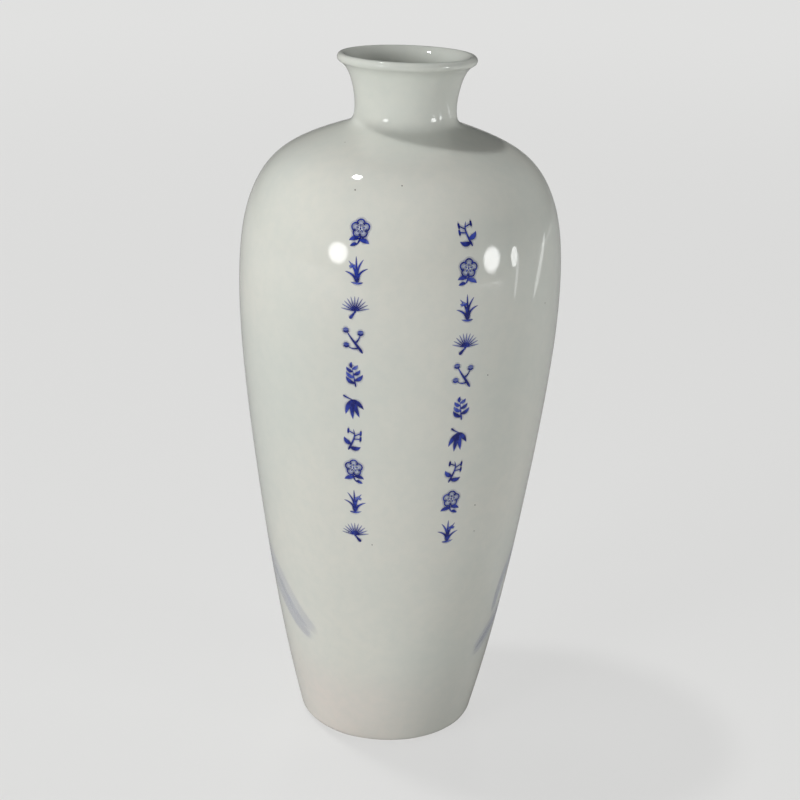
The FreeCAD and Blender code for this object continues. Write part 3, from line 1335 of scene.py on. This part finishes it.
class Effects:
    """The shader node groups that more than one finish uses, each built once."""

    def __init__(self) -> None:
        """Builds the groups."""
        self.mottle = self._mottle()
        self.specks = self._specks()
        self.relief = self._relief()

    @staticmethod
    def _mottle() -> Group:
        """Soft patches of lighter and darker tone, at two scales.

        Returns:
            The group.
        """
        graph, given, result = new_group("mottle", {"Patches": 20.0, "Grain": 400.0}, ("Slow", "Fine"))
        for name, source, detail in (("Slow", "Patches", 2.0), ("Fine", "Grain", 4.0)):
            noise = graph.texture("ShaderNodeTexNoise", given.outputs[source], Detail=detail, Roughness=0.55)
            graph.link(noise.outputs["Fac"], result.inputs[name])
        return graph.tree

    @staticmethod
    def _specks() -> Group:
        """Scattered specks, few and small.

        Returns:
            The group.
        """
        least_size = 0.35
        soft_edge = (1.0, 0.55)
        defaults = {"Per Metre": 60.0, "Radius": 0.02, "Share": 0.3}
        graph, given, result = new_group("specks", defaults, ("Mask",))
        cells = graph.texture("ShaderNodeTexVoronoi", given.outputs["Per Metre"], Randomness=1.0)
        chance = graph.node("ShaderNodeSeparateColor")
        graph.link(cells.outputs["Color"], chance.inputs["Color"])
        chosen = graph.sum("LESS_THAN", chance.outputs["Red"], given.outputs["Share"])
        size = graph.sum("ADD", chance.outputs["Green"], least_size)
        reach = graph.sum("MULTIPLY", given.outputs["Radius"], size)
        inside = graph.sum("DIVIDE", cells.outputs["Distance"], reach)
        mask = graph.sum("MULTIPLY", chosen, graph.span(inside, soft_edge))
        graph.link(mask, result.inputs["Mask"])
        return graph.tree

    @staticmethod
    def _relief() -> Group:
        """The faint orange-peel of a fired glaze, with a few pinholes.

        Returns:
            The group.
        """
        pinhole = (0.0, 0.03)
        graph, given, result = new_group("relief", {"Ripples": 260.0, "Pinholes": 90.0}, ("Height",))
        waves = graph.texture("ShaderNodeTexNoise", given.outputs["Ripples"], Detail=1.5, Roughness=0.4)
        holes = graph.texture("ShaderNodeTexVoronoi", given.outputs["Pinholes"])
        depth = graph.span(holes.outputs["Distance"], pinhole, (1.0, 0.0))
        graph.link(graph.sum("SUBTRACT", waves.outputs["Fac"], depth), result.inputs["Height"])
        return graph.tree


def new_material(name: str) -> tuple[Material, Graph, Node]:
    """Starts a material.

    Args:
        name: Its name.

    Returns:
        The material, its graph and its shader.
    """
    material = bpy.data.materials.new(name)
    material.use_nodes = True
    shader = next(node for node in material.node_tree.nodes if node.type == "BSDF_PRINCIPLED")
    return material, Graph(material.node_tree), shader


def bump(graph: Graph, shader: Node, height: Socket, depth: float) -> None:
    """Gives a shader a relief of this depth.

    Args:
        graph: The material's graph.
        shader: Its shader.
        height: The relief's height, from 0 to 1.
        depth: How deep that is, in metres.
    """
    relief = graph.node("ShaderNodeBump", Strength=1.0, Distance=depth)
    graph.link(height, relief.inputs["Height"])
    graph.link(relief.outputs["Normal"], shader.inputs["Normal"])


@dataclass(frozen=True)
class Glazed:
    """A finish under the clear glaze: dull itself, with the glaze's gloss and faint relief over it."""

    name: str
    roughness: float = 0.5
    under_gloss: float = 0.15
    coat_roughness: float = 0.035
    relief_depth: float = 0.012 * MM
    ripples_per_metre: float = 260.0
    pinholes_per_metre: float = 90.0

    def glaze(self, graph: Graph, shader: Node, effects: Effects) -> None:
        """Lays the clear glaze over the finish.

        Args:
            graph: The material's graph.
            shader: Its shader.
            effects: The shared groups.
        """
        scales = {"Ripples": self.ripples_per_metre, "Pinholes": self.pinholes_per_metre}
        relief = graph.place(effects.relief, **scales)
        bump(graph, shader, relief.outputs["Height"], self.relief_depth)
        shader.inputs["Roughness"].default_value = self.roughness
        shader.inputs["Specular IOR Level"].default_value = self.under_gloss
        shader.inputs["Coat Weight"].default_value = 1.0
        shader.inputs["Coat Roughness"].default_value = self.coat_roughness


@dataclass(frozen=True)
class GlazeFinish(Glazed):
    """The glaze over white clay: its tints, its flush near the foot, its grain and its specks."""

    clear: Colour = (221, 221, 212)
    cool: Colour = (214, 217, 209)
    warm: Colour = (224, 214, 206)
    pooled: Colour = (196, 205, 200)
    speck: Colour = (96, 86, 74)
    cool_reach: Point = (0.38, 0.62)
    warm_below: float = 44 * MM
    warm_full_share: float = 0.4
    warm_reach: float = 24 * MM
    warm_sides: Point = (0.25, 1.0)
    warm_blotches: Point = (0.35, 0.6)
    warm_shares: Point = (0.3, 0.8)
    grain_share: float = 0.16
    speck_share: float = 0.75
    specks: tuple[tuple[float, float, float], ...] = ((58.0, 0.024, 0.22), (150.0, 0.03, 0.1))

    def material(self, effects: Effects) -> Material:
        """Builds the finish from the shared groups.

        Args:
            effects: The shared groups.

        Returns:
            The material.
        """
        made, graph, shader = new_material(self.name)
        mottle = graph.place(effects.mottle, Patches=14.0, Grain=260.0)
        slow, fine = mottle.outputs["Slow"], mottle.outputs["Fine"]
        place = graph.node("ShaderNodeSeparateXYZ")
        graph.link(graph.node("ShaderNodeTexCoord").outputs["Object"], place.inputs["Vector"])
        tint = graph.blend(graph.span(slow, self.cool_reach), paint(self.clear), paint(self.cool))
        low = graph.span(place.outputs["Z"], (self.warm_below, self.warm_below * self.warm_full_share))
        blotch = graph.span(slow, self.warm_blotches, self.warm_shares)
        sided = graph.span(place.outputs["X"], (self.warm_reach, -self.warm_reach), self.warm_sides)
        flushed = graph.sum("MULTIPLY", graph.sum("MULTIPLY", low, blotch), sided)
        tint = graph.blend(flushed, tint, paint(self.warm))
        grain = graph.span(fine, NOISE_REACH, (0.0, self.grain_share))
        tint = graph.blend(grain, tint, paint(self.pooled))
        for per_metre, radius, share in self.specks:
            specks = graph.place(effects.specks, Per_Metre=per_metre, Radius=radius, Share=share)
            dark = graph.sum("MULTIPLY", specks.outputs["Mask"], self.speck_share)
            tint = graph.blend(dark, tint, paint(self.speck))
        graph.link(tint, shader.inputs["Base Color"])
        self.glaze(graph, shader, effects)
        return made


@dataclass(frozen=True)
class InkFinish(Glazed):
    """Ink under the glaze: pale where thin, dark where it pooled, and soft at its edges."""

    pale: Colour = (142, 154, 196)
    middle: Colour = (50, 70, 176)
    deep: Colour = (16, 26, 112)
    pale_at: float = 0.25
    middle_at: float = 0.68
    deep_at: float = 1.0
    unevenness: float = 0.16
    thinnest: float = 0.86

    def material(self, effects: Effects) -> Material:
        """Builds the finish from the shared groups and the strokes' own tone and cover.

        Args:
            effects: The shared groups.

        Returns:
            The material.
        """
        made, graph, shader = new_material(self.name)
        tone = graph.node("ShaderNodeAttribute", attribute_name="tone")
        cover = graph.node("ShaderNodeAttribute", attribute_name="cover")
        mottle = graph.place(effects.mottle, Patches=420.0, Grain=2600.0)
        uneven = graph.span(mottle.outputs["Slow"], NOISE_REACH, (-self.unevenness, self.unevenness))
        ramp = graph.node("ShaderNodeValToRGB")
        stops = ramp.color_ramp.elements
        stops[0].position = self.pale_at
        stops[0].color = paint(self.pale)
        stops[1].position = self.deep_at
        stops[1].color = paint(self.deep)
        stops.new(self.middle_at).color = paint(self.middle)
        graph.link(graph.sum("ADD", tone.outputs["Fac"], uneven), ramp.inputs["Fac"])
        graph.link(ramp.outputs["Color"], shader.inputs["Base Color"])
        thin = graph.span(mottle.outputs["Fine"], NOISE_REACH, (self.thinnest, 1.0))
        graph.link(graph.sum("MULTIPLY", cover.outputs["Fac"], thin), shader.inputs["Alpha"])
        self.glaze(graph, shader, effects)
        return made


@dataclass(frozen=True)
class ClayFinish:
    """Bare fired clay: its tint, the flush of iron beside the glaze, and its grain."""

    name: str
    clay: Colour = (226, 219, 205)
    flush: Colour = (205, 158, 112)
    grit: Colour = (120, 98, 78)
    roughness: float = 0.78
    grain_depth: float = 0.06 * MM
    flush_reach: Point = (0.42, 0.7)
    flush_share: float = 0.55
    grit_share: float = 0.7

    def material(self, effects: Effects) -> Material:
        """Builds the finish from the shared groups.

        Args:
            effects: The shared groups.

        Returns:
            The material.
        """
        made, graph, shader = new_material(self.name)
        mottle = graph.place(effects.mottle, Patches=90.0, Grain=1500.0)
        patch = graph.span(mottle.outputs["Slow"], self.flush_reach, (0.0, self.flush_share))
        tint = graph.blend(patch, paint(self.clay), paint(self.flush))
        specks = graph.place(effects.specks, Per_Metre=420.0, Radius=0.16, Share=0.2)
        dark = graph.sum("MULTIPLY", specks.outputs["Mask"], self.grit_share)
        graph.link(graph.blend(dark, tint, paint(self.grit)), shader.inputs["Base Color"])
        bump(graph, shader, mottle.outputs["Fine"], self.grain_depth)
        shader.inputs["Roughness"].default_value = self.roughness
        return made


class GlazeCoats:
    """The three coats of glaze."""

    def __init__(self, nodes: dict[str, Piece]) -> None:
        """Reads the coats' lines from the model.

        Args:
            nodes: The model's nodes by name.
        """
        outer_waves = ripples(3, 0.045 * MM, (22 * MM, 90 * MM), (0, 1, 2, 3, 0, 5, 4, 7))
        inner_waves = ripples(8, 0.06 * MM, (6 * MM, 14 * MM), (1, 0, 1, 2, 0))
        base_waves = ripples(4, 0.05 * MM, (8 * MM, 20 * MM), (0, 2, 3))
        self.outer = Coat(
            "outer_glaze",
            Side.OUT,
            outer_waves,
            free_start=True,
            soft_from=208 * MM,
            soft_to=243 * MM,
        )
        self.inner = Coat("inner_glaze", Side.IN, inner_waves, segments=160)
        self.base = Coat("base_glaze", Side.UNDER, base_waves, segments=160, free_end=True)
        for coat in (self.outer, self.inner, self.base):
            coat.read(nodes)

    def build(self, glaze: Material) -> None:
        """Builds the three coats."""
        for coat in (self.outer, self.inner, self.base):
            coat.build(glaze)


class ClayAndSlip:
    """The thrown clay and the slip in its joints, which keep the model's meshes."""

    clay_nodes = ("lower_body", "upper_body", "neck")
    slip_nodes = ("body_joint_slip", "neck_joint_slip")
    clay = ClayFinish("fired_clay")
    slip = ClayFinish("fired_slip", clay=(216, 208, 194), grain_depth=0.12 * MM, flush_share=0.3)

    def build(self, nodes: dict[str, Piece], effects: Effects) -> None:
        """Gives each node its finish.

        Args:
            nodes: The model's nodes by name.
            effects: The shared groups.
        """
        for names, finish in ((self.clay_nodes, self.clay), (self.slip_nodes, self.slip)):
            material = finish.material(effects)
            for name in names:
                dress(nodes[name], material)
                log.info("%s: dressed", name)


@dataclass(frozen=True)
class Lamp:
    """A soft lamp at the vase. Its level is the brightness that it gives a white card facing it."""

    name: str
    azimuth_deg: float
    elevation_deg: float
    width_deg: float
    height_deg: float
    level: float
    distance: float = 3.0
    aim_mm: tuple[float, float, float] = (0, 0, 190)
    roll_deg: float = 0.0
    lights: bool = True
    reflects: bool = True
    gleam_sizes: tuple[float, ...] = (0.8, 0.9, 1.0, 1.08)
    gleam_gap_share: float = 0.01

    def softened(self, gleam_share: float) -> list["Lamp"]:
        """Splits the lamp into one that lights and nested ones that gleam in the glaze with a soft edge.

        Args:
            gleam_share: The gleam's brightness as a share of the lamp's own.

        Returns:
            The lamps that stand for this one.
        """
        lamps = [replace(self, reflects=False)]
        each = self.level * gleam_share / len(self.gleam_sizes)
        for i, size in enumerate(self.gleam_sizes, 1):
            gleam = replace(
                self,
                name=f"{self.name}_gleam_{i}",
                width_deg=self.width_deg * size,
                height_deg=self.height_deg * size,
                level=each * size**2,
                distance=self.distance * (1 - self.gleam_gap_share * i),
                lights=False,
            )
            lamps.append(gleam)
        return lamps

    def build(self) -> None:
        """Hangs the lamp."""
        data = bpy.data.lights.new(self.name, "AREA")
        data.shape = "ELLIPSE"
        data.size = 2 * self.distance * math.tan(math.radians(self.width_deg / 2))
        data.size_y = 2 * self.distance * math.tan(math.radians(self.height_deg / 2))
        data.energy = self.level * (math.pi * self.distance) ** 2
        turn = math.radians(self.azimuth_deg)
        rise = math.radians(self.elevation_deg)
        way = Vector((math.sin(turn) * math.cos(rise), -math.cos(turn) * math.cos(rise), math.sin(rise)))
        lamp = bpy.data.objects.new(self.name, data)
        lamp.location = Vector(self.aim_mm) * MM + way * self.distance
        lamp.rotation_mode = "QUATERNION"
        rolled = Quaternion((0, 0, 1), math.radians(self.roll_deg))
        lamp.rotation_quaternion = way.to_track_quat("Z", "Y") @ rolled
        lamp.visible_camera = False
        lamp.visible_diffuse = self.lights
        lamp.visible_glossy = self.reflects
        bpy.context.scene.collection.objects.link(lamp)


@dataclass
class Studio:
    """A pale floor and backdrop, soft lamps, and the camera at the photograph's place."""

    floor_side: float = 16.0
    floor_roughness: float = 0.9
    floor_colour: Colour = (182, 182, 181)
    floor_seen: Colour = (124, 124, 123)
    floor_shown: Colour = (255, 255, 254)
    floor_shown_level: float = 0.58
    floor_fade: Point = (0.5, 3.5)
    backdrop: Colour = (224, 224, 223)
    ambient: Colour = (255, 255, 255)
    ambient_level: float = 0.05
    camera_place: tuple[float, float, float] = (0.0, -0.52965, 0.31955)
    yaw: float = 0.003
    pitch: float = 0.3518
    roll: float = 0.0354
    focal_px: float = 1541.0
    sensor: float = 36.0

    def build(self) -> None:
        """Sets the stage."""
        self._floor()
        self._world()
        self._camera()
        for lamp in (*self._gleaming(), *self._fills(), *self._strips()):
            lamp.build()
        bpy.context.scene.view_settings.view_transform = "Standard"

    @staticmethod
    def _gleaming() -> list[Lamp]:
        """The lamps that light the vase and gleam in it: one high on the left, and two low in front.

        Returns:
            The lamps.
        """
        high_left = Lamp("high_left", -105, 68.8, 7, 4.5, 0.37)
        round_left = Lamp("round_left", -44.5, 6.5, 15, 13, 0.355, distance=1.5, aim_mm=(-20, -51, 193))
        oval_right = Lamp("oval_right", 66.5, 2, 14, 13, 0.315, distance=1.5, aim_mm=(29.5, -47, 191))
        return [*high_left.softened(0.4), *round_left.softened(0.42), *oval_right.softened(0.5)]

    @staticmethod
    def _fills() -> list[Lamp]:
        """Wide, faint lamps that only light the vase.

        Returns:
            The lamps.
        """
        wide = 28
        fills = [
            Lamp("left_fill", -60, 6, wide, wide, 0.45),
            Lamp("right_fill", 40, 6, wide, wide, 0.1),
            Lamp("far_right_fill", 125, 6, wide, wide, 0.2),
            Lamp("far_left_fill", -150, 30, wide, wide, 0.1),
            Lamp("back_fill", 180, 7, 12, 12, 0.4, distance=9.0),
        ]
        return [replace(fill, reflects=False) for fill in fills]

    @staticmethod
    def _strips() -> list[Lamp]:
        """Bright strips near the vase's right, which only gleam in it.

        Returns:
            The lamps.
        """
        near = {"distance": 0.7, "aim_mm": (37, -41.5, 189)}
        far = {"distance": 0.6, "aim_mm": (47.5, -29.5, 186)}
        strips = [
            Lamp("near_strip", 86.5, -0.5, 6.5, 9, 0.036, roll_deg=-12, **near),
            Lamp("near_tail", 89.0, -7, 2.5, 15, 0.007, roll_deg=-14, **near),
            Lamp("far_strip", 116.5, -8, 3.8, 23, 0.012, roll_deg=-50, **far),
        ]
        return [replace(strip, lights=False) for strip in strips]

    def _floor(self) -> None:
        """Lays the floor, which the camera sees fade into the backdrop with its distance."""
        bpy.ops.object.select_all(action="DESELECT")
        bpy.ops.mesh.primitive_plane_add(size=self.floor_side)
        floor = bpy.context.view_layer.objects.active
        floor.name = "floor"
        material, graph, shader = new_material("pale_floor")
        shader.inputs["Roughness"].default_value = self.floor_roughness
        shader.inputs["Specular IOR Level"].default_value = 0.0
        is_seen = graph.node("ShaderNodeLightPath").outputs["Is Camera Ray"]
        reach = graph.node("ShaderNodeVectorMath", operation="LENGTH")
        graph.link(graph.node("ShaderNodeTexCoord").outputs["Object"], reach.inputs[0])
        far = graph.span(reach.outputs["Value"], self.floor_fade)
        seen = graph.blend(far, paint(self.floor_seen), paint((0, 0, 0)))
        graph.link(graph.blend(is_seen, paint(self.floor_colour), seen), shader.inputs["Base Color"])
        shown = graph.blend(far, paint(self.floor_shown), paint(self.backdrop))
        graph.link(shown, shader.inputs["Emission Color"])
        level = graph.span(reach.outputs["Value"], self.floor_fade, (self.floor_shown_level, 1.0))
        graph.link(graph.sum("MULTIPLY", is_seen, level), shader.inputs["Emission Strength"])
        floor.data.materials.append(material)

    def _world(self) -> None:
        """Surrounds the stage with a soft light, and shows the camera a pale backdrop."""
        world = bpy.data.worlds.new("studio")
        bpy.context.scene.world = world
        world.use_nodes = True
        world.node_tree.nodes.clear()
        graph = Graph(world.node_tree)
        light = graph.node("ShaderNodeBackground", Color=paint(self.ambient), Strength=self.ambient_level)
        shown = graph.node("ShaderNodeBackground", Color=paint(self.backdrop), Strength=1.0)
        mix = graph.node("ShaderNodeMixShader")
        graph.link(graph.node("ShaderNodeLightPath").outputs["Is Camera Ray"], mix.inputs[0])
        graph.link(light.outputs[0], mix.inputs[1])
        graph.link(shown.outputs[0], mix.inputs[2])
        graph.link(mix.outputs[0], graph.node("ShaderNodeOutputWorld").inputs["Surface"])

    def _camera(self) -> None:
        """Sets the camera where the photograph's outline says that it stood."""
        level = Vector((math.cos(self.yaw), -math.sin(self.yaw), 0))
        tilt = math.cos(self.pitch)
        ahead = Vector((math.sin(self.yaw) * tilt, math.cos(self.yaw) * tilt, -math.sin(self.pitch)))
        upright = level.cross(ahead)
        right = level * math.cos(self.roll) + upright * math.sin(self.roll)
        up = upright * math.cos(self.roll) - level * math.sin(self.roll)
        data = bpy.data.cameras.new("camera")
        data.sensor_width = self.sensor
        data.lens = self.focal_px / PHOTO_SIDE_PX * self.sensor
        camera = bpy.data.objects.new("camera", data)
        turned = Matrix((right, up, -ahead)).transposed().to_4x4()
        camera.matrix_world = Matrix.Translation(self.camera_place) @ turned
        bpy.context.scene.collection.objects.link(camera)
        bpy.context.scene.camera = camera


def main() -> None:
    """Builds the vase's looks in order, and its stage."""
    logging.basicConfig(level=logging.INFO, format="%(name)s: %(message)s")
    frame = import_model()
    nodes = frame["nodes"]
    Studio().build()
    effects = Effects()
    ClayAndSlip().build(nodes, effects)
    coats = GlazeCoats(nodes)
    coats.build(GlazeFinish("clear_glaze").material(effects))
    brush = Brush(coats.outer, InkFinish("cobalt_ink").material(effects))
    FrontColumns().build(brush)
    for wash in SIDE_WASHES:
        wash.build(brush)
    BackBamboo().build(brush)
    iron = InkFinish("iron_speck", pale=(150, 128, 100), middle=(112, 88, 62), deep=(66, 46, 32))
    IronSpecks().build(Brush(coats.outer, iron.material(effects)))


if __name__ == "__main__":
    main()
